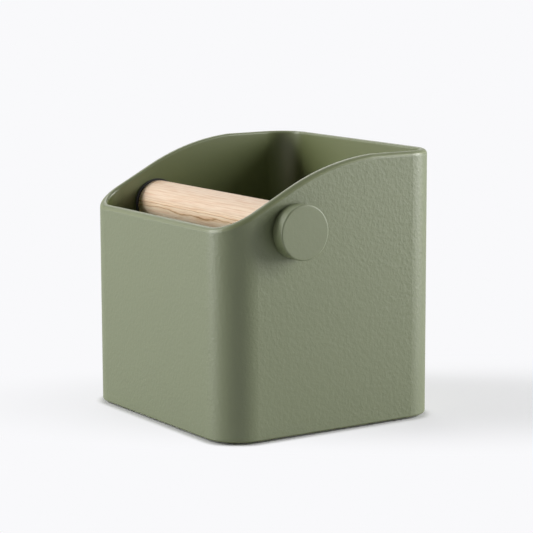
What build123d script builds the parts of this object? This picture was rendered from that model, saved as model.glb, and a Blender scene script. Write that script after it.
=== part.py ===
from build123d import *
from collections import Counter
from math import atan2, cos, hypot, pi, tan
import os

# A counter-top box for knocking the spent coffee out of an espresso handle.
# It is a moulded bin, open at the top, with a wooden bar across it near the low front.
# A knob on each side carries a screw that goes through the wall into the end of the bar.
# Millimetres and degrees. +Z is up, the low front faces -Y, and the bar lies along X.
# The origin is on the surface that the feet stand on, under the middle of the box.

# The bin: outside form
box_width = 126.0
box_depth = 119.0
back_height = 125.7
lip_height = 95.4
corner_radius = 16.6
base_edge_radius = 0.8

# The bin: walls and floor
wall = 3.8
floor_thickness = 4.0
floor_corner_radius = 6.0
rim_outer_share = 0.63
rim_inner_share = 0.32

# The rim, seen from the side: level lip, hollow sweep, ramp, crown, level shelf
ramp_inset = 0.4
sweep_radius = 15.0
crown_run_share = 0.695
crown_rise_share = 0.938
shelf_length = 39.7
shelf_blend_radius = 10.0

# The underside of the bin
base_rim_width = 9.0
base_recess_depth = 1.2
foot_boss_wall = 2.5
gate_radius = 5.0
gate_depth = 0.5

# The feet
foot_stand = 1.0
foot_radius = 6.5
foot_seat_depth = 1.2
foot_inset = 20.0
foot_edge_chamfer = 0.5
foot_dish_radius = 3.5
foot_dish_depth = 0.4

# The bar and its place in the bin
bar_axis_setback = 36.5
bar_axis_height = 93.9
bar_radius = 11.25
bar_edge_chamfer = 0.5
bar_bore_spare = 3.0

# The black ring between each end of the bar and the wall
ring_thickness = 1.2
ring_radius = 12.0
ring_edge_chamfer = 0.3

# The flanged bush in each wall hole
bush_radius = 5.0
bush_flange_radius = 7.0
bush_flange_thickness = 0.8

# The washer under each knob
washer_thickness = 1.0
washer_radius = 11.6

# The screw, a hexagon-head bolt, drawn with a plain shank
screw_radius = 3.0
screw_length = 20.0
screw_tip_chamfer = 0.8
screw_head_flats = 10.0
screw_head_height = 4.0
screw_head_chamfer = 0.6

# The threaded insert in each end of the bar
insert_length = 13.0
insert_radius = 4.0
insert_lead = 0.6
insert_groove_width = 1.6
insert_groove_depth = 0.4
insert_flutes = 12
insert_flute_radius = 0.45

# The knob
knob_radius = 12.6
knob_thickness = 7.3
knob_edge_radius = 0.7
knob_back_chamfer = 0.3
knob_side_wall = 1.8
knob_face_wall = 2.2
knob_hub_wall = 1.6
knob_ribs = 6
knob_rib_thickness = 1.2
knob_rib_setback = 1.0

# Fits
running_clearance = 0.05
bolt_clearance = 0.3
seat_clearance = 0.05
cut_overrun = 5.0

# A face counts as a top face when its normal climbs at least this much
upward_share = 0.5

# Places that several pieces share
base_z = foot_stand
bar_y = bar_axis_setback - box_depth / 2
bar_z = base_z + bar_axis_height
bar_half_length = box_width / 2 - wall - ring_thickness
rim_outer_radius = wall * rim_outer_share
rim_inner_radius = wall * rim_inner_share
foot_thickness = foot_stand + foot_seat_depth
bolt_hole_radius = screw_radius + bolt_clearance
knob_cavity_depth = knob_thickness - knob_face_wall
screw_head_corner_radius = screw_head_flats / 2 / cos(pi / 6)
knob_hub_radius = screw_head_corner_radius + seat_clearance + knob_hub_wall


def turned(*outline):
    """Revolve a closed outline of (radius, height) corners about Z."""
    return revolve(Plane.XZ * make_face(Polyline(*outline, close=True)), Axis.Z)


def tube(outer, inner, low, high):
    """A plain tube along Z from one height to another."""
    return turned((inner, low), (outer, low), (outer, high), (inner, high))


def hexagon(flats):
    return RegularPolygon(radius=flats / 2, side_count=6, major_radius=False)


def rim_outline():
    """The space above the rim as a flat outline: x runs to the back, y runs up."""
    front = -box_depth / 2
    lip_corner = Vector(front + ramp_inset, lip_height)
    shelf_corner = Vector(box_depth / 2 - shelf_length, back_height)
    crown_corner = Vector(
        lip_corner.X + (shelf_corner.X - lip_corner.X) * crown_run_share,
        lip_corner.Y + (shelf_corner.Y - lip_corner.Y) * crown_rise_share,
    )
    ramp = crown_corner - lip_corner
    crown_end = shelf_corner - crown_corner
    ramp_angle = atan2(ramp.Y, ramp.X)
    end_angle = atan2(crown_end.Y, crown_end.X)
    # The crown's arc uses up its short side, but for what the blend beside the shelf needs.
    blend_tangent = shelf_blend_radius * tan(end_angle / 2)
    crown_tangent = hypot(crown_end.X, crown_end.Y) - 2 * blend_tangent
    crown_radius = crown_tangent / tan((ramp_angle - end_angle) / 2)
    start = Vector(lip_corner.X - sweep_radius, lip_height)
    finish = Vector(box_depth / 2 + cut_overrun, back_height)
    rim = FilletPolyline(
        start,
        lip_corner,
        crown_corner,
        shelf_corner,
        finish,
        radius=[sweep_radius, crown_radius, shelf_blend_radius],
    )
    above = back_height + cut_overrun
    lid = Polyline(finish, (finish.X, above), (start.X, above), start)
    return make_face(rim + lid)


def rim_edges(body):
    """The inner and outer edges of the rim, without the seams that cross it."""
    lowest = base_z + lip_height - wall
    tops = [f for f in body.faces() if f.center().Z > lowest and f.normal_at().Z > upward_share]
    uses = Counter(edge for face in tops for edge in face.edges())
    return [edge for edge, count in uses.items() if count == 1]


def reach(edge):
    """How far out an edge lies: the corner radius on the outside, a wall less inside."""
    place = edge.center()
    across = max(abs(place.X) - (box_width / 2 - corner_radius), 0)
    along = max(abs(place.Y) - (box_depth / 2 - corner_radius), 0)
    return hypot(across, along)


def foot_places():
    """Name and centre of each foot."""
    across = box_width / 2 - foot_inset
    along = box_depth / 2 - foot_inset
    for row, y in (("front", -along), ("rear", along)):
        for side, x in (("left", -across), ("right", across)):
            yield f"{row}_{side}_foot", (x, y)


def make_bin():
    """The moulded bin: one wall all round, cut to the side profile, its rim rounded over."""
    plan = RectangleRounded(box_width, box_depth, corner_radius)
    outside = extrude(plan, back_height)
    outside = fillet(outside.faces().sort_by(Axis.Z)[0].edges(), base_edge_radius)
    inner_plan = RectangleRounded(box_width - 2 * wall, box_depth - 2 * wall, corner_radius - wall)
    inside = Pos(0, 0, floor_thickness) * extrude(inner_plan, back_height)
    inside = fillet(inside.faces().sort_by(Axis.Z)[0].edges(), floor_corner_radius)
    space_above = extrude(Plane.YZ * rim_outline(), box_width / 2 + cut_overrun, both=True)
    body = Pos(0, 0, base_z) * (outside - inside - space_above)
    middle = corner_radius - wall / 2
    body = fillet([e for e in rim_edges(body) if reach(e) > middle], rim_outer_radius)
    inner_side = corner_radius - (wall + rim_outer_radius) / 2
    body = fillet([e for e in rim_edges(body) if reach(e) < inner_side], rim_inner_radius)
    for frame in side_frames():
        body -= frame * bush_hole()
    return body - underside()


def bush_hole():
    """Stepped hole for the bush, in the frame of a side wall."""
    bore = bush_radius + seat_clearance
    seat = bush_flange_radius + seat_clearance
    return turned(
        (0, -wall - cut_overrun),
        (bore, -wall - cut_overrun),
        (bore, -bush_flange_thickness),
        (seat, -bush_flange_thickness),
        (seat, cut_overrun),
        (0, cut_overrun),
    )


def underside():
    """What is hollow under the floor: a shallow recess, round bosses with foot seats, a gate."""
    recess_plan = RectangleRounded(
        box_width - 2 * base_rim_width,
        box_depth - 2 * base_rim_width,
        corner_radius - base_rim_width,
    )
    recess = extrude(recess_plan, base_recess_depth)
    seat_radius = foot_radius + seat_clearance
    for name, place in foot_places():
        boss = extrude(Circle(seat_radius + foot_boss_wall), base_recess_depth)
        recess -= Pos(*place) * boss
    hollow = recess + extrude(Circle(gate_radius), base_recess_depth + gate_depth)
    for name, place in foot_places():
        hollow += Pos(*place) * extrude(Circle(seat_radius), foot_seat_depth)
    return Pos(0, 0, base_z) * hollow


def side_frames():
    """The right and left wall at the bar: Z points out, with zero on the wall's outer face."""
    right = Plane((box_width / 2, bar_y, bar_z), x_dir=(0, 1, 0), z_dir=(1, 0, 0))
    left = Plane((-box_width / 2, bar_y, bar_z), x_dir=(0, -1, 0), z_dir=(-1, 0, 0))
    return right, left


def make_foot():
    """A rubber pad with a bevelled lower edge and a shallow dish in its sole."""
    pad = Cylinder(foot_radius, foot_thickness, align=(Align.CENTER, Align.CENTER, Align.MIN))
    pad = chamfer(pad.edges().sort_by(Axis.Z)[0], foot_edge_chamfer)
    return pad - extrude(Circle(foot_dish_radius), foot_dish_depth)


def make_knock_bar():
    """The wooden bar, its ends bevelled and bored for the inserts."""
    bar = Cylinder(bar_radius, 2 * bar_half_length)
    bar = chamfer(bar.edges().filter_by(GeomType.CIRCLE), bar_edge_chamfer)
    bore_radius = insert_radius + seat_clearance
    bore_depth = insert_length + bar_bore_spare
    bore = Pos(0, 0, bar_half_length - bore_depth) * extrude(Circle(bore_radius), bore_depth)
    bar -= bore
    bar -= mirror(bore, about=Plane.XY)
    return Plane((0, bar_y, bar_z), x_dir=(0, 1, 0), z_dir=(1, 0, 0)) * bar


def make_thread_insert():
    """A brass insert: two fluted bands with a groove between, bored for the screw."""
    bore = screw_radius + running_clearance
    middle = insert_length / 2
    groove = insert_groove_width / 2
    waist = insert_radius - insert_groove_depth
    body = turned(
        (bore, 0),
        (insert_radius - insert_lead, 0),
        (insert_radius, insert_lead),
        (insert_radius, middle - groove),
        (waist, middle - groove),
        (waist, middle + groove),
        (insert_radius, middle + groove),
        (insert_radius, insert_length),
        (bore, insert_length),
    )
    flute = extrude(Circle(insert_flute_radius), insert_length)
    body -= PolarLocations(insert_radius, insert_flutes) * flute
    return Pos(0, 0, -wall - ring_thickness - insert_length) * body


def make_end_ring():
    """The black rubber ring between the end of the bar and the wall."""
    ring = tube(ring_radius, bolt_hole_radius, -wall - ring_thickness, -wall)
    rims = [e for e in ring.edges().filter_by(GeomType.CIRCLE) if e.radius > bolt_hole_radius]
    return chamfer(rims, ring_edge_chamfer)


def make_wall_bush():
    """A flanged bush that lines the hole and lies flush with the wall outside and inside."""
    bore = bolt_hole_radius
    return turned(
        (bore, -wall),
        (bush_radius, -wall),
        (bush_radius, -bush_flange_thickness),
        (bush_flange_radius, -bush_flange_thickness),
        (bush_flange_radius, 0),
        (bore, 0),
    )


def make_knob_washer():
    return tube(washer_radius, bolt_hole_radius, 0, washer_thickness)


def make_knob():
    """A shallow cap, hollow at the back, with a hexagon socket in a ribbed hub."""
    knob = extrude(Circle(knob_radius), knob_thickness)
    knob = fillet(knob.edges().sort_by(Axis.Z)[-1], knob_edge_radius)
    knob = chamfer(knob.edges().sort_by(Axis.Z)[0], knob_back_chamfer)
    knob -= extrude(Circle(knob_radius - knob_side_wall), knob_cavity_depth)
    rib_length = knob_radius - knob_side_wall / 2
    rib_height = knob_cavity_depth - knob_rib_setback
    rib_plan = Pos(rib_length / 2, 0) * Rectangle(rib_length, knob_rib_thickness)
    rib = Pos(0, 0, knob_rib_setback) * extrude(rib_plan, rib_height)
    knob += PolarLocations(0, knob_ribs) * rib
    knob += extrude(Circle(knob_hub_radius), knob_cavity_depth)
    knob -= extrude(hexagon(screw_head_flats + 2 * seat_clearance), screw_head_height)
    return Pos(0, 0, washer_thickness) * knob


def make_knob_screw():
    """A hexagon-head bolt held in the knob, its shank reaching into the insert."""
    corner = screw_head_corner_radius
    chamfered = turned(
        (0, 0),
        (corner, 0),
        (corner, screw_head_height - screw_head_chamfer),
        (corner - screw_head_chamfer, screw_head_height),
        (0, screw_head_height),
    )
    head = extrude(hexagon(screw_head_flats), screw_head_height) & chamfered
    shank = turned(
        (0, 0),
        (screw_radius, 0),
        (screw_radius, screw_tip_chamfer - screw_length),
        (screw_radius - screw_tip_chamfer, -screw_length),
        (0, -screw_length),
    )
    return Pos(0, 0, washer_thickness) * (head + shank)


side_pieces = {
    "thread_insert": make_thread_insert,
    "end_ring": make_end_ring,
    "wall_bush": make_wall_bush,
    "knob_washer": make_knob_washer,
    "knob": make_knob,
    "knob_screw": make_knob_screw,
}

nodes = {"bin": make_bin(), "knock_bar": make_knock_bar()}
for side, frame in zip(("right", "left"), side_frames()):
    for piece, make_piece in side_pieces.items():
        nodes[f"{side}_{piece}"] = frame * make_piece()
for name, place in foot_places():
    nodes[name] = Pos(*place) * make_foot()

os.makedirs("parts", exist_ok=True)
for name, solid in nodes.items():
    export_step(solid, f"parts/{name}.step")
print(f"{len(nodes)} pieces, bar axis at y {bar_y:.1f}, z {bar_z:.1f}")
print(f"rim rounds {rim_outer_radius:.2f} outside and {rim_inner_radius:.2f} inside")
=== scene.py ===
# %% [markdown]
# # An espresso knock box
# The box is one moulded bin, open at the top, with a wooden bar across it near the low
# front. A flat knob on each side carries a screw that goes through the wall into the bar.
# The frame already holds every piece at its real size. This file gives the pieces their
# finishes, models the few things that the frame leaves plain, and lights the result.

# %% Load the frame
from math import cos, pi, radians, sin

import bmesh
import bpy
from mathutils import Matrix, Vector


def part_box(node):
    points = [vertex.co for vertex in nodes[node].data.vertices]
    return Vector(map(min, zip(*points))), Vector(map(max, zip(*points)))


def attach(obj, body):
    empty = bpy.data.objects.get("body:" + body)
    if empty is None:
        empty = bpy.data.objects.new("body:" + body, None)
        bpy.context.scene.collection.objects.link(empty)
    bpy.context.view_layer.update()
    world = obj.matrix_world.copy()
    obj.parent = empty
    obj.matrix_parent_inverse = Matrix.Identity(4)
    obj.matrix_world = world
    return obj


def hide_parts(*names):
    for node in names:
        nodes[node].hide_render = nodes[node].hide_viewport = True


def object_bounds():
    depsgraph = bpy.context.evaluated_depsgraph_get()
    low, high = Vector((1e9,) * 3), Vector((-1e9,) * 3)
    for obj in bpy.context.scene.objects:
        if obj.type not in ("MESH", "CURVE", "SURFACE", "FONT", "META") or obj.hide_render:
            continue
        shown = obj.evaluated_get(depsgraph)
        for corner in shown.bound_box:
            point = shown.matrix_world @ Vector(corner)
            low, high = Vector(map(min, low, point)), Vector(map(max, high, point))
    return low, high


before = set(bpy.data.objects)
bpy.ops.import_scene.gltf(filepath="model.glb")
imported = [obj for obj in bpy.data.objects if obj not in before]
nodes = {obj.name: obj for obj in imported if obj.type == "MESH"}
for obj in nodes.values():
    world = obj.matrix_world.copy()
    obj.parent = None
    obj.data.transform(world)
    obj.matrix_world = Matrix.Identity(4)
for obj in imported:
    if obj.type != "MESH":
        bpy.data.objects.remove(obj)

MM = 0.001
cad_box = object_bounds()
lowest, highest = (tuple(round(v / MM, 1) for v in corner) for corner in cad_box)
print("the frame reaches from", lowest, "to", highest, "mm")

# %% [markdown]
# ## The camera
# A long lens from about a metre away keeps the upright edges almost parallel, which is how
# such a product is usually photographed. The camera stands to the right of the front and a
# little above the rim. Its place is written as an angle round the box, an angle above the
# counter and a distance, because those are the numbers that one changes to mend a framing.

# %% Set the camera
camera_azimuth = 56.645
camera_elevation = 9.07
camera_roll = -0.188
camera_distance = 983.3 * MM
camera_target = Vector((1.47, 2.2, 68.45)) * MM
camera_lens = 138.43
sensor_width = 36.0


def compass(azimuth, elevation):
    """The direction from the box at these angles in degrees. Zero is out of the front."""
    turn, rise = radians(azimuth), radians(elevation)
    return Vector((sin(turn) * cos(rise), -cos(turn) * cos(rise), sin(rise)))


def aimed(azimuth, elevation, distance, roll=0.0):
    """Where something stands that looks at the target from these angles."""
    place = Matrix.Translation(camera_target + compass(azimuth, elevation) * distance)
    turn = Matrix.Rotation(radians(azimuth), 4, "Z")
    tilt = Matrix.Rotation(radians(90 - elevation), 4, "X")
    facing = turn @ tilt
    return place @ facing @ Matrix.Rotation(radians(roll), 4, "Z")


bpy.ops.object.select_all(action="DESELECT")
bpy.ops.object.camera_add()
camera = bpy.context.object
camera.name = "camera"
camera.data.sensor_fit = "HORIZONTAL"
camera.data.sensor_width = sensor_width
camera.data.lens = camera_lens
camera.matrix_world = aimed(camera_azimuth, camera_elevation, camera_distance, camera_roll)
bpy.context.scene.camera = camera
bpy.context.scene.view_settings.view_transform = "Standard"
print("camera at", tuple(round(v / MM) for v in camera.matrix_world.translation), "mm")

# %% [markdown]
# ## Colours and nodes
# A colour is picked as sRGB hex, as any picture editor shows it, but Blender's nodes work in
# linear light. One function turns one into the other. A second one adds a node, sets its
# settings and links its inputs, so that a material reads from top to bottom. Two short ones
# start a material and put it on pieces of the frame.

# %% Helpers for materials
def linear(code):
    """Linear RGBA from an sRGB hex colour."""
    parts = [int(code[i : i + 2], 16) / 255 for i in (0, 2, 4)]
    return [p / 12.92 if p <= 0.04045 else ((p + 0.055) / 1.055) ** 2.4 for p in parts] + [1]


def add_node(tree, kind, inputs=(), stops=(), **settings):
    """Add a node. An input takes a value or another node's output. A ramp takes stops."""
    node = tree.nodes.new("ShaderNode" + kind)
    for name, value in settings.items():
        setattr(node, name, value)
    for key, value in dict(inputs).items():
        if isinstance(value, bpy.types.NodeSocket):
            tree.links.new(value, node.inputs[key])
        else:
            node.inputs[key].default_value = value
    if stops:
        elements = node.color_ramp.elements
        while len(elements) < len(stops):
            elements.new(1.0)
        for element, (place, code) in zip(elements, stops):
            element.position = place
            element.color = linear(code)
    return node


def new_material(name):
    """An empty material and its node tree."""
    material = bpy.data.materials.new(name)
    material.use_nodes = True
    material.node_tree.nodes.clear()
    return material, material.node_tree


def dress(material, *names):
    """Give frame nodes this material."""
    for name in names:
        mesh = nodes[name].data
        mesh.materials.clear()
        mesh.materials.append(material)
    print(material.name, "on", ", ".join(names))


# %% [markdown]
# ## Finding the outer walls
# The bin's outer walls are grained, and its inside and rim are smooth. The bin could be cut
# in two for that, but it is one piece, so one material tells the places apart with a mask.
#
# The mask measures how far a point lies outside a smaller upright box, whose edges stand
# where the bin's round corners have their centres. That is the corner radius all the way
# round the outside, and a wall less than that on the inside. Where the mask rises can be
# chosen, so the same one later finds the floor under the box.

# %% A mask from the bin's plan
corner_radius = 16.6 * MM


def plan_mask(tree, place, start, end):
    """Zero in the middle of the bin's plan, and one from where the wall's outer face is.

    Start and end are how far out of that face the mask rises. Inside is negative.
    """
    low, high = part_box("bin")
    half = (high - low) / 2
    core = (half.x - corner_radius, half.y - corner_radius, 0)
    folded = add_node(tree, "VectorMath", {0: place}, operation="ABSOLUTE").outputs[0]
    past = add_node(tree, "VectorMath", {0: folded, 1: core}, operation="SUBTRACT").outputs[0]
    flat = add_node(tree, "VectorMath", {0: past, 1: (1, 1, 0)}, operation="MULTIPLY").outputs[0]
    outward = add_node(tree, "VectorMath", {0: flat, 1: (0, 0, 0)}, operation="MAXIMUM")
    reach = add_node(tree, "VectorMath", {0: outward.outputs[0]}, operation="LENGTH")
    inputs = {
        "Value": reach.outputs["Value"],
        "From Min": corner_radius + start,
        "From Max": corner_radius + end,
    }
    return add_node(tree, "MapRange", inputs, interpolation_type="SMOOTHSTEP").outputs["Result"]


# %% [markdown]
# ## ABS, spark-eroded outside and satin inside
# The bin and the knobs are injection-moulded ABS, coloured through in a grey olive. The
# cavity of the mould is spark-eroded, so the outer walls come out with a fine pebbled
# grain. It scatters the highlights and makes the olive look pale and dry. That pale cast is
# partly painted: the grained colour is a greyer olive than the plastic's own, a painted
# sheen. The core and the rim are only stoned smooth, and there the olive is its own deeper
# colour.
#
# The pebbles could be geometry, but they are shallow and there are thousands of them, so
# noise in a Bump node tilts the surface instead. The mask fades out just under the outer
# face, so the round of the rim stays smooth.

# %% Pebbled ABS
noise_detail = 2.0
# A greyer olive than the plastic's own: its paleness is painted sheen.
olive_with_painted_sheen = "676f4e"
abs_ior = 1.53
abs_specular = 0.7
grain_width = 1.6 * MM
grain_depth = 0.15 * MM
grained_roughness = 0.5


def abs_surface(tree, place, depth, tint, rough):
    """Pebbles of this depth, this colour and this roughness. Each may be a node's output.

    The relief is in metres already, so the bump's own distance is one.
    """
    inputs = {"Vector": place, "Scale": 1 / grain_width, "Detail": noise_detail}
    pebbles = add_node(tree, "TexNoise", inputs)
    relief = add_node(tree, "Math", {0: pebbles.outputs["Fac"], 1: depth}, operation="MULTIPLY")
    bump = add_node(tree, "Bump", {"Height": relief.outputs[0], "Distance": 1.0})
    inputs = {
        "Base Color": tint,
        "Roughness": rough,
        "IOR": abs_ior,
        "Specular IOR Level": abs_specular,
        "Normal": bump.outputs["Normal"],
    }
    shader = add_node(tree, "BsdfPrincipled", inputs)
    add_node(tree, "OutputMaterial", {"Surface": shader.outputs["BSDF"]})


# %% The bin's ABS
smooth_olive = "687045"
satin_depth = 0.004 * MM
smooth_roughness = 0.4
mask_start = -0.12 * MM
mask_end = -0.03 * MM

bin_abs, tree = new_material("abs_spark_grained")
place = add_node(tree, "TexCoord").outputs["Object"]
outer_wall = plan_mask(tree, place, mask_start, mask_end)
inputs = {"Value": outer_wall, "To Min": satin_depth, "To Max": grain_depth}
depth = add_node(tree, "MapRange", inputs)
inputs = {"Value": outer_wall, "To Min": smooth_roughness, "To Max": grained_roughness}
rough = add_node(tree, "MapRange", inputs)
# The outer walls get the greyer olive, whose paleness is painted sheen.
inputs = {0: outer_wall, 6: linear(smooth_olive), 7: linear(olive_with_painted_sheen)}
tint = add_node(tree, "Mix", inputs, data_type="RGBA")
abs_surface(tree, place, depth.outputs["Result"], tint.outputs[2], rough.outputs["Result"])
dress(bin_abs, "bin")

# %% [markdown]
# ## The knobs' ABS
# The knobs come from a mould of their own. The olive is the same, but the grain is
# shallower, and it covers them all over, so they need no mask. What is the same all over
# a surface is set on the shader itself.

# %% Dress the knobs
knob_grain_depth = grain_depth / 3

knob_abs, tree = new_material("abs_fine_grained")
place = add_node(tree, "TexCoord").outputs["Object"]
# The greyer olive here, too, carries a painted sheen.
abs_surface(tree, place, knob_grain_depth, linear(olive_with_painted_sheen), grained_roughness)
dress(knob_abs, "right_knob", "left_knob")

# %% [markdown]
# ## Ash: the heart of the tree
# The bar is turned from ash. Its growth rings are shells round a heart that lies outside
# the bar, behind and above it. They cut the top of the bar square on and show there as
# fine straight lines. Low on the front they graze the surface and open into broad bands.
# A flat picture of wood would have a seam and wrong ends. One distance from that far heart
# gives the top, the front and the end grain alike. Slow noise lets the rings wander.

# %% Distance from the heart
bar_low, bar_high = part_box("knock_bar")
bar_axis = (bar_low + bar_high) / 2
bar_radius = (bar_high.z - bar_low.z) / 2
heart_distance = 30 * MM
heart_above = radians(14)
wander_length = 22 * MM
wander_reach = 0.9 * MM
wander_squeeze = 6

ash, tree = new_material("ash_turned")
place = add_node(tree, "TexCoord").outputs["Object"]
heart = bar_axis + heart_distance * Vector((0, cos(heart_above), sin(heart_above)))
centred = add_node(tree, "VectorMath", {0: place, 1: heart}, operation="SUBTRACT").outputs[0]
inputs = {"Vector": centred, "Scale": (1, wander_squeeze, wander_squeeze)}
squeezed = add_node(tree, "Mapping", inputs).outputs[0]
inputs = {"Vector": squeezed, "Scale": 1 / wander_length, "Detail": noise_detail}
wander = add_node(tree, "TexNoise", inputs).outputs["Color"]
inputs = {0: wander, 1: (0, wander_reach, wander_reach)}
shift = add_node(tree, "VectorMath", inputs, operation="MULTIPLY").outputs[0]
across = add_node(tree, "VectorMath", {0: centred, 1: (0, 1, 1)}, operation="MULTIPLY").outputs[0]
warped = add_node(tree, "VectorMath", {0: across, 1: shift}, operation="ADD").outputs[0]
age = add_node(tree, "VectorMath", {0: warped}, operation="LENGTH").outputs["Value"]
print("bar radius", round(bar_radius / MM, 2), "mm, heart", round(heart_distance / MM), "mm off")

# %% [markdown]
# ## Ash: the growth rings
# Age divided by a ring's width counts the years, and the part after the point runs from
# spring to autumn, so a colour ramp on it draws one ring after another. The last years,
# far from the heart, were slow and show as tan rings with darker lines, so the low front of
# the bar is tan. The pale body of that tan ramp is painted light: it is lighter than the
# cream, to make up for the shade that the front lip casts on the low front. Each stretch
# has its own ramp, and the age blends from one to the other.

# %% Rings of cream and tan, the tan partly painted light
ring_width = 1.15 * MM
slow_ring_width = 0.5 * MM
tan_starts = 2.35 * MM
tan_is_full = 1.41 * MM
cream_stops = ((0.0, "eed6bc"), (0.2, "f6dfc7"), (0.75, "f2dbc2"), (1.0, "e9ceb1"))
# Tan rings whose pale stops, lighter than the cream, are painted light on the shaded low front.
tan_with_painted_light_stops = (
    (0.0, "e6c59c"),
    (0.2, "ffebd0"),
    (0.7, "ffe6c8"),
    (0.88, "eecba3"),
    (0.97, "b98e61"),
)


def part_of_year(tree, age, width):
    """How far through its ring a point lies, from 0 to 1, where rings are this wide."""
    years = add_node(tree, "Math", {0: age, 1: width}, operation="DIVIDE")
    return add_node(tree, "Math", {0: years.outputs[0]}, operation="FRACT").outputs[0]


year = part_of_year(tree, age, ring_width)
slow_year = part_of_year(tree, age, slow_ring_width)
cream = add_node(tree, "ValToRGB", {"Fac": year}, stops=cream_stops)
tan = add_node(tree, "ValToRGB", {"Fac": slow_year}, stops=tan_with_painted_light_stops)
far_side = heart_distance + bar_radius
inputs = {"Value": age, "From Min": far_side - tan_starts, "From Max": far_side - tan_is_full}
# Where the tan comes in: the low front, shaded by the lip, where it also paints light.
slow_years_and_painted_light = add_node(tree, "MapRange", inputs, interpolation_type="SMOOTHSTEP")
inputs = {0: slow_years_and_painted_light.outputs["Result"], 6: cream.outputs["Color"], 7: tan.outputs["Color"]}
wood = add_node(tree, "Mix", inputs, data_type="RGBA").outputs[2]
print("rings", round(ring_width / MM, 2), "mm wide, slow ones", round(slow_ring_width / MM, 2))

# %% [markdown]
# ## Ash: fibres and vessels
# Along the bar run fine fibres and a few coarser vessels. Both are noise that is drawn out
# along the bar, once fine and once coarse, and each darkens the wood a little where it is
# low. The fibres also give the turned surface its faint relief. The bar is sanded and has
# no lacquer, so it shines only softly.

# %% Fibres, vessels and finish
fibre_width = 0.35 * MM
fibre_stretch = 0.03
fibre_detail = 3.0
fibre_depth = 0.01 * MM
fibre_stops = ((0.3, "dfbfa4"), (0.58, "ffffff"))
fibre_strength = 0.4
vessel_width = 1.0 * MM
vessel_stretch = 0.06
vessel_stops = ((0.36, "e4c5a6"), (0.52, "ffffff"))
vessel_strength = 0.3
ash_roughness = 0.55
ash_ior = 1.5
ash_specular = 0.35


def streaks(tree, place, width, stretch, detail):
    """Noise of this width across the bar, drawn out along it."""
    drawn = add_node(tree, "Mapping", {"Vector": place, "Scale": (stretch, 1, 1)})
    inputs = {"Vector": drawn.outputs[0], "Scale": 1 / width, "Detail": detail}
    return add_node(tree, "TexNoise", inputs).outputs["Fac"]


fibres = streaks(tree, centred, fibre_width, fibre_stretch, fibre_detail)
vessels = streaks(tree, centred, vessel_width, vessel_stretch, noise_detail)
for lines, stops, strength in (
    (fibres, fibre_stops, fibre_strength),
    (vessels, vessel_stops, vessel_strength),
):
    tint = add_node(tree, "ValToRGB", {"Fac": lines}, stops=stops)
    inputs = {0: strength, 6: wood, 7: tint.outputs["Color"]}
    wood = add_node(tree, "Mix", inputs, data_type="RGBA", blend_type="MULTIPLY").outputs[2]
bump = add_node(tree, "Bump", {"Height": fibres, "Distance": fibre_depth})
inputs = {
    "Base Color": wood,
    "Roughness": ash_roughness,
    "IOR": ash_ior,
    "Specular IOR Level": ash_specular,
    "Normal": bump.outputs["Normal"],
}
shader = add_node(tree, "BsdfPrincipled", inputs)
add_node(tree, "OutputMaterial", {"Surface": shader.outputs["BSDF"]})
dress(ash, "knock_bar")

# %% [markdown]
# ## Rubber, nylon, brass and steel
# The small pieces hide for the most part, but each still needs its own finish for the
# moment when a knob is unscrewed or the box is turned over. Moulded rubber is nearly black
# and dull, and moulded nylon black with a soft gloss. Turned brass is warm and bright, and
# zinc-plated steel cool and a little cloudy.
#
# They differ only in numbers: a colour, a roughness, whether it is metal, and a faint grit,
# which keeps the gloss from looking like glass. So a table holds the numbers and one loop
# makes all four.

# %% Small finishes
small_finishes = (
    # name, colour, roughness, metallic, grit width mm, grit depth mm
    ("rubber_moulded", "161412", 0.75, 0.0, 0.4, 0.01),
    ("nylon_moulded", "1f1f20", 0.4, 0.0, 1.5, 0.004),
    ("brass_turned", "c9a35b", 0.28, 1.0, 0.3, 0.002),
    ("steel_zinc_plated", "b9bcc0", 0.3, 1.0, 0.3, 0.002),
)
finishes = {}
for name, colour, roughness, metallic, width, depth in small_finishes:
    finishes[name], tree = new_material(name)
    place = add_node(tree, "TexCoord").outputs["Object"]
    inputs = {"Vector": place, "Scale": 1 / (width * MM), "Detail": noise_detail}
    grit = add_node(tree, "TexNoise", inputs)
    bump = add_node(tree, "Bump", {"Height": grit.outputs["Fac"], "Distance": depth * MM})
    inputs = {
        "Base Color": linear(colour),
        "Roughness": roughness,
        "Metallic": metallic,
        "Normal": bump.outputs["Normal"],
    }
    shader = add_node(tree, "BsdfPrincipled", inputs)
    add_node(tree, "OutputMaterial", {"Surface": shader.outputs["BSDF"]})
    print(name, "with roughness", roughness)

# %% Dress the small pieces
feet = [name for name in nodes if name.endswith("_foot")]
rings_and_washers = ("right_end_ring", "left_end_ring", "right_knob_washer", "left_knob_washer")
dress(finishes["rubber_moulded"], *rings_and_washers, *feet)
dress(finishes["nylon_moulded"], "right_wall_bush", "left_wall_bush")
dress(finishes["brass_turned"], "right_thread_insert", "left_thread_insert")
steel = finishes["steel_zinc_plated"]

# %% [markdown]
# ## Tools of the workbench
# The frame's screws have plain shanks. The real ones have a rolled thread, which shows as
# soon as a knob is unscrewed, so they are modelled here. Small helpers do what the hand
# does at the screen: pick edges or points by their place, add a modifier and apply it, cut
# one closed shape with another, and add a cylinder. The last one measures a piece, because
# a solid is only sound when none of its edges is open.

# %% Pick by place
def pick(kind, test):
    """In edit mode, select what has its middle where the test says."""
    bpy.ops.mesh.select_mode(type=kind)
    bpy.ops.mesh.select_all(action="DESELECT")
    mesh = bmesh.from_edit_mesh(bpy.context.object.data)
    pool = {"VERT": mesh.verts, "EDGE": mesh.edges, "FACE": mesh.faces}[kind]
    for item in pool:
        corners = [item] if kind == "VERT" else item.verts
        item.select_set(bool(test(sum((v.co for v in corners), Vector()) / len(corners))))
    mesh.select_flush_mode()
    bmesh.update_edit_mesh(bpy.context.object.data)


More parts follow.
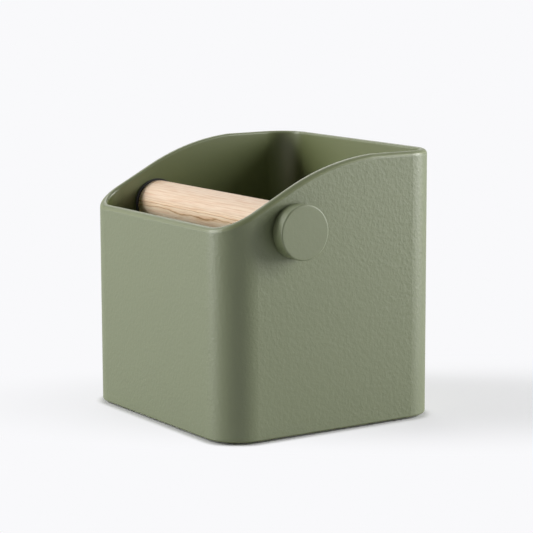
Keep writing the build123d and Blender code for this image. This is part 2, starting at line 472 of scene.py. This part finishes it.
def activate(piece):
    """Make this piece the selected one, alone."""
    bpy.ops.object.select_all(action="DESELECT")
    bpy.context.view_layer.objects.active = piece
    piece.select_set(True)


# %% Modify, combine and measure
def modify(piece, kind, **settings):
    """Add a modifier to a piece, set it and apply it."""
    activate(piece)
    bpy.ops.object.modifier_add(type=kind)
    modifier = piece.modifiers[-1]
    for name, value in settings.items():
        setattr(modifier, name, value)
    bpy.ops.object.modifier_apply(modifier=modifier.name)


def combine(piece, tool, operation):
    """Join a piece with a closed tool or cut it to the tool, and clear the tool away."""
    modify(piece, "BOOLEAN", object=tool, operation=operation, solver="EXACT")
    bpy.data.meshes.remove(tool.data)


def add_round(sides, radius, low, high, turn=0.0):
    """A cylinder primitive from one height to another, its place in its mesh."""
    bpy.ops.object.select_all(action="DESELECT")
    bpy.ops.mesh.primitive_cylinder_add(
        vertices=sides,
        radius=radius,
        depth=high - low,
        location=(0, 0, (low + high) / 2),
        rotation=(0, 0, turn),
    )
    bpy.ops.object.transform_apply(location=True, rotation=True, scale=True)
    return bpy.context.object


def measure(piece):
    """Print a piece's faces, open edges and volume."""
    mesh = bmesh.new()
    mesh.from_mesh(piece.data)
    loose = sum(len(edge.link_faces) != 2 for edge in mesh.edges)
    volume = mesh.calc_volume(signed=True) / MM**3
    print(f"{piece.name}: {len(mesh.faces)} faces, {loose} open edges, {volume:.1f} cubic mm")
    mesh.free()


# %% [markdown]
# ## One turn of the screw's thread
# Each knob holds an M6 hexagon screw. Its thread is rolled: one turn climbs one
# millimetre, the flanks stand at 60 degrees to each other, and the crests are narrow
# flats. A groove could be cut along a spiral, but such a cut leaves slivers. So the outline
# of one turn is drawn and wound up. It starts as the edge of a small plane, which is
# divided, and its middle is pushed out to the crest.

# %% The outline of one turn
thread_pitch = 1.0 * MM
thread_radius = 3.0 * MM
thread_depth = 0.6134 * thread_pitch
root_radius = thread_radius - thread_depth
crest_flat = thread_pitch / 8
root_flat = thread_pitch / 6
cuts = 4

start = Vector((root_radius, 0, thread_pitch / 2))
segment = thread_pitch / (cuts + 1)
bpy.ops.object.select_all(action="DESELECT")
bpy.ops.mesh.primitive_plane_add(
    size=thread_pitch,
    location=start - Vector((thread_pitch / 2, 0, 0)),
    rotation=(pi / 2, 0, 0),
)
bpy.ops.object.transform_apply(location=True, rotation=True, scale=True)
screw = bpy.context.object
screw.name = "right_threaded_screw"
bpy.ops.object.mode_set(mode="EDIT")
pick("VERT", lambda p: p.x < root_radius - thread_pitch / 2)
bpy.ops.mesh.delete(type="VERT")
bpy.ops.mesh.select_all(action="SELECT")
bpy.ops.mesh.subdivide(number_cuts=cuts)
pick("VERT", lambda p: 0 < round(p.z / segment) <= cuts)
spread = (thread_pitch - root_flat) / (3 * segment)
bpy.ops.transform.resize(value=(1, 1, spread), center_override=start)
pick("VERT", lambda p: abs(p.z - start.z) < segment * spread)
bpy.ops.transform.resize(value=(1, 1, crest_flat / (segment * spread)), center_override=start)
bpy.ops.transform.translate(value=(thread_depth, 0, 0))
bpy.ops.object.mode_set(mode="OBJECT")
print("the outline has", len(screw.data.vertices), "points")

# %% [markdown]
# ## Winding and cutting the thread
# The Screw modifier winds the outline up the shank. The wound surface has ragged ends, so
# two level cuts leave the length that the real thread has, and each cut is closed with a
# face. Then the thread is lowered until it hangs under height zero, where the head starts.

# %% Wind the thread
screw_length = 20.0 * MM
plain_neck = 1.5 * MM
turns = 22
thread_steps = 32
weld_gap = 0.01 * MM
hair = 0.0001 * MM
first_cut = 1.5 * thread_pitch

modify(
    screw,
    "SCREW",
    axis="Z",
    angle=2 * pi,
    screw_offset=thread_pitch,
    iterations=turns,
    steps=thread_steps,
    render_steps=thread_steps,
)
bpy.ops.object.mode_set(mode="EDIT")
bpy.ops.mesh.select_all(action="SELECT")
bpy.ops.mesh.remove_doubles(threshold=weld_gap)
bpy.ops.mesh.normals_make_consistent(inside=False)
for height, above in ((first_cut, False), (first_cut + screw_length - plain_neck, True)):
    bpy.ops.mesh.select_mode(type="VERT")
    bpy.ops.mesh.select_all(action="SELECT")
    bpy.ops.mesh.bisect(
        plane_co=(0, 0, height),
        plane_no=(0, 0, 1),
        clear_outer=above,
        clear_inner=not above,
        threshold=hair,
    )
    pick("EDGE", lambda p: abs(p.z - height) < 10 * hair)
    bpy.ops.mesh.fill()
bpy.ops.mesh.select_all(action="SELECT")
bpy.ops.mesh.normals_make_consistent(inside=False)
bpy.ops.transform.translate(value=(0, 0, -first_cut - screw_length))
bpy.ops.object.mode_set(mode="OBJECT")
measure(screw)

# %% [markdown]
# ## Its point and head
# The point is turned to a cone before the thread is rolled, so a bevelled cylinder cuts
# the thread to that shape. The head is a six-sided cylinder. Its corners are turned off in
# the same way, which leaves the curved edge between flats and top that every hexagon
# head has. A bevel on the hexagon itself would leave straight edges there. Head, neck and
# thread are then joined to one closed solid.

# %% Cut the point
tip_bevel = 0.8 * MM
cone_gap = 0.1 * MM
shank_sides = 64

cone = add_round(shank_sides, thread_radius + cone_gap, -screw_length, screw_length)
bpy.ops.object.mode_set(mode="EDIT")
pick("EDGE", lambda p: p.z < tip_bevel - screw_length)
bpy.ops.mesh.bevel(offset=tip_bevel, segments=1, affect="EDGES")
bpy.ops.object.mode_set(mode="OBJECT")
combine(screw, cone, "INTERSECT")
measure(screw)

# %% Add the head
head_flats = 10.0 * MM
head_height = 4.0 * MM
head_corners = head_flats / 2 / cos(pi / 6)
head_bevel = 0.6 * MM
dome_sides = 96
neck_radius = thread_radius - thread_depth / 2
screw_crease = radians(25)

head = add_round(6, head_corners, 0, head_height, turn=pi / 6)
dome = add_round(dome_sides, head_corners, -head_height, head_height)
bpy.ops.object.mode_set(mode="EDIT")
pick("EDGE", lambda p: p.z > head_height - head_bevel)
bpy.ops.mesh.bevel(offset=head_bevel, segments=1, affect="EDGES")
bpy.ops.object.mode_set(mode="OBJECT")
combine(head, dome, "INTERSECT")
neck = add_round(shank_sides, neck_radius, -plain_neck - thread_pitch / 2, head_height / 2)
combine(head, neck, "UNION")
combine(screw, head, "UNION")
activate(screw)
bpy.ops.object.mode_set(mode="EDIT")
bpy.ops.mesh.select_all(action="SELECT")
bpy.ops.mesh.remove_doubles(threshold=hair)
bpy.ops.object.mode_set(mode="OBJECT")
bpy.ops.object.shade_smooth_by_angle(angle=screw_crease)
measure(screw)

# %% [markdown]
# ## A screw in each knob
# Both screws are the same part, with the same right-hand thread. A mirrored copy would have
# a left-hand one, so the left screw is a copy that is turned half round. Each takes the
# place of the plain screw in the frame and moves with its knob.

# %% Put the screws in place
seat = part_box("right_knob_screw")[1].x - head_height
along_bar = Matrix(((0, 0, 1), (1, 0, 0), (0, 1, 0))).to_4x4()
to_axis = Matrix.Translation((0, bar_axis.y, 0))
half_turn = to_axis @ Matrix.Rotation(pi, 4, "Z") @ to_axis.inverted()

activate(screw)
screw.matrix_world = Matrix.Translation((seat, bar_axis.y, bar_axis.z)) @ along_bar
bpy.ops.object.transform_apply(location=True, rotation=True, scale=True)
bpy.ops.object.duplicate()
left_screw = bpy.context.object
left_screw.name = "left_threaded_screw"
left_screw.matrix_world = half_turn
bpy.ops.object.transform_apply(location=True, rotation=True, scale=True)
for side, piece in (("right", screw), ("left", left_screw)):
    piece.data.materials.clear()
    piece.data.materials.append(steel)
    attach(piece, f"{side}_knob_body")
    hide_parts(f"{side}_knob_screw")
    ends = (round(corner.x / MM, 2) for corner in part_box(f"{side}_knob_screw"))
    print(piece.name, "stands for a screw with its ends at", *ends, "mm along the bar")

# %% [markdown]
# ## The gate
# Plastic enters the mould under the middle of the floor. When the bin drops out, the
# sprue breaks off there and leaves a stub with a torn top, in a round recess that keeps
# it off the counter. Bump alone would leave its outline a perfect circle, so the tear is
# modelled: the end of a short cylinder is inset twice, pulled out, and pushed in askew.

# %% Gate stub
gate_ceiling = 2.7 * MM
stub_radius = 1.3 * MM
stub_height = 0.45 * MM
stub_root = 0.3 * MM
stub_sides = 24
torn_edge = gate_ceiling - 0.9 * stub_height
torn_rim, torn_drop = 0.45 * MM, (0, 0, -0.2 * MM)
torn_core, torn_pull = 0.35 * MM, (0.12 * MM, 0.08 * MM, 0.3 * MM)
stub_round = 0.15 * MM
rim_reach = 0.05 * MM
stub_crease = radians(30)

stub = add_round(stub_sides, stub_radius, gate_ceiling - stub_height, gate_ceiling + stub_root)
stub.name = "gate_stub"
bpy.ops.object.mode_set(mode="EDIT")
pick("FACE", lambda p: p.z < torn_edge)
bpy.ops.mesh.inset(thickness=torn_rim)
bpy.ops.transform.translate(value=torn_drop)
bpy.ops.mesh.inset(thickness=torn_core)
bpy.ops.transform.translate(value=torn_pull)
pick("EDGE", lambda p: abs(p.to_2d().length - stub_radius) < rim_reach and p.z < torn_edge)
bpy.ops.mesh.bevel(offset=stub_round, segments=2, affect="EDGES")
bpy.ops.object.mode_set(mode="OBJECT")
bpy.ops.object.shade_smooth_by_angle(angle=stub_crease)
stub.data.materials.append(nodes["bin"].data.materials[0])
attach(stub, "bin_body")
measure(stub)

# %% [markdown]
# ## The floor
# Such pictures are taken on white paper that fades into a white background. The floor is a
# large plane. In a long oval round the box about half of what shows is lit paper, so that
# the soft shadows of the box lie on it, and under the box it is nothing else, which leaves
# the thin dark line where the box stands on its feet. The oval is also a painted shadow:
# the paper shows dimmer than the white, so the oval, set beside the box where the shade
# falls, darkens the floor as a soft shadow band of its own. Outside the oval it turns into
# plain white. Stronger lamps would whiten it too, but they would bleach the box. So the white
# is a glow that shows to the camera, in a gloss and through glass, and casts no light.

# %% A helper for what shows the background
backdrop_white = "f9f9fb"


def background_rays(tree):
    """One for what the camera sees directly, in a gloss or through glass, and else zero."""
    rays = add_node(tree, "LightPath")
    seen = rays.outputs["Is Camera Ray"]
    for kind in ("Is Glossy Ray", "Is Transmission Ray"):
        inputs = {0: seen, 1: rays.outputs[kind]}
        seen = add_node(tree, "Math", inputs, operation="MAXIMUM").outputs[0]
    return seen


# %% Lay the floor
floor_size = 12.0
paper_white = "f7f7f9"
# Place, turn, size and strength of the oval that paints a soft shadow band beside the box.
painted_shadow_middle = Vector((43, 83, 0)) * MM
painted_shadow_turn = (0, 0, radians(56.6))
painted_shadow_half_size = (0.282, 0.110, 1.0)
painted_shadow_fade = {"From Min": 0.18, "From Max": 1.0, "To Min": 0.47, "To Max": 1.0}
contact_width = 4 * MM

bpy.ops.object.select_all(action="DESELECT")
bpy.ops.mesh.primitive_plane_add(size=floor_size)
floor = bpy.context.object
floor.name = "floor"
material, tree = new_material("paper_white")
place = add_node(tree, "TexCoord").outputs["Object"]
inputs = {
    "Vector": place,
    "Location": painted_shadow_middle,
    "Rotation": painted_shadow_turn,
    "Scale": painted_shadow_half_size,
}
# The oval of painted shadow, where the dim paper shows.
painted_shadow_oval = add_node(tree, "Mapping", inputs, vector_type="TEXTURE").outputs[0]
away = add_node(tree, "VectorMath", {0: painted_shadow_oval}, operation="LENGTH").outputs["Value"]
inputs = {"Value": away, **painted_shadow_fade}
fade = add_node(tree, "MapRange", inputs, interpolation_type="SMOOTHSTEP").outputs["Result"]
clear = plan_mask(tree, place, 0.0, contact_width)
share = add_node(tree, "Math", {0: fade, 1: clear}, operation="MULTIPLY").outputs[0]
inputs = {0: share, 1: background_rays(tree)}
share = add_node(tree, "Math", inputs, operation="MULTIPLY").outputs[0]
paper = add_node(tree, "BsdfDiffuse", {"Color": linear(paper_white)}).outputs[0]
glow = add_node(tree, "Emission", {"Color": linear(backdrop_white), "Strength": 1.0}).outputs[0]
both = add_node(tree, "MixShader", {0: share, 1: paper, 2: glow}).outputs[0]
add_node(tree, "OutputMaterial", {"Surface": both})
floor.data.materials.append(material)
print("floor of paper,", floor_size, "m wide")

# %% [markdown]
# ## The white round the box
# The world is the same white, and it shows to the same rays as the floor's glow. To all
# other rays it is nearly black, as a studio with its lights out, so the lamps alone shape
# the box.

# %% World
room_strength = 0.005

world = bpy.data.worlds.new("studio")
bpy.context.scene.world = world
world.use_nodes = True
tree = world.node_tree
tree.nodes.clear()
white = linear(backdrop_white)
room = add_node(tree, "Background", {"Color": white, "Strength": room_strength}).outputs[0]
backdrop = add_node(tree, "Background", {"Color": white, "Strength": 1.0}).outputs[0]
both = add_node(tree, "MixShader", {0: background_rays(tree), 1: room, 2: backdrop}).outputs[0]
add_node(tree, "OutputWorld", {"Surface": both})
print("world", world.name, "with a room at", room_strength)

# %% [markdown]
# ## The lamps
# Two softboxes stand low, one on the left and one on the right. Each wall catches one of
# them, and the rounded corner between, which faces the camera, catches neither: that dark
# band is what makes the form of the box easy to read. Two more hang higher. The left one
# lights the top of the bar and the side of the knob, and the one behind draws the thin pale
# line along the inner edge of the rim. All are area lamps, because a point or a sun would
# give hard shadows that no softbox throws.

# %% Set up the lamps
lamp_distance = 1300 * MM
lamps = (
    # name, azimuth, elevation, width mm, height mm, watts
    ("left_softbox", -25, 8, 500, 500, 10.2),
    ("left_high", -40, 35, 400, 400, 7.6),
    ("back_high", -115, 45, 700, 700, 4.0),
    ("right_softbox", 149, 16, 500, 900, 21.5),
)
for name, azimuth, elevation, width, height, watts in lamps:
    bpy.ops.object.light_add(type="AREA")
    lamp = bpy.context.object
    lamp.name = name
    lamp.data.shape = "RECTANGLE"
    lamp.data.size = width * MM
    lamp.data.size_y = height * MM
    lamp.data.energy = watts
    lamp.visible_camera = False
    lamp.matrix_world = aimed(azimuth, elevation, lamp_distance)
    print(name, watts, "W from", azimuth, "degrees round and", elevation, "up")
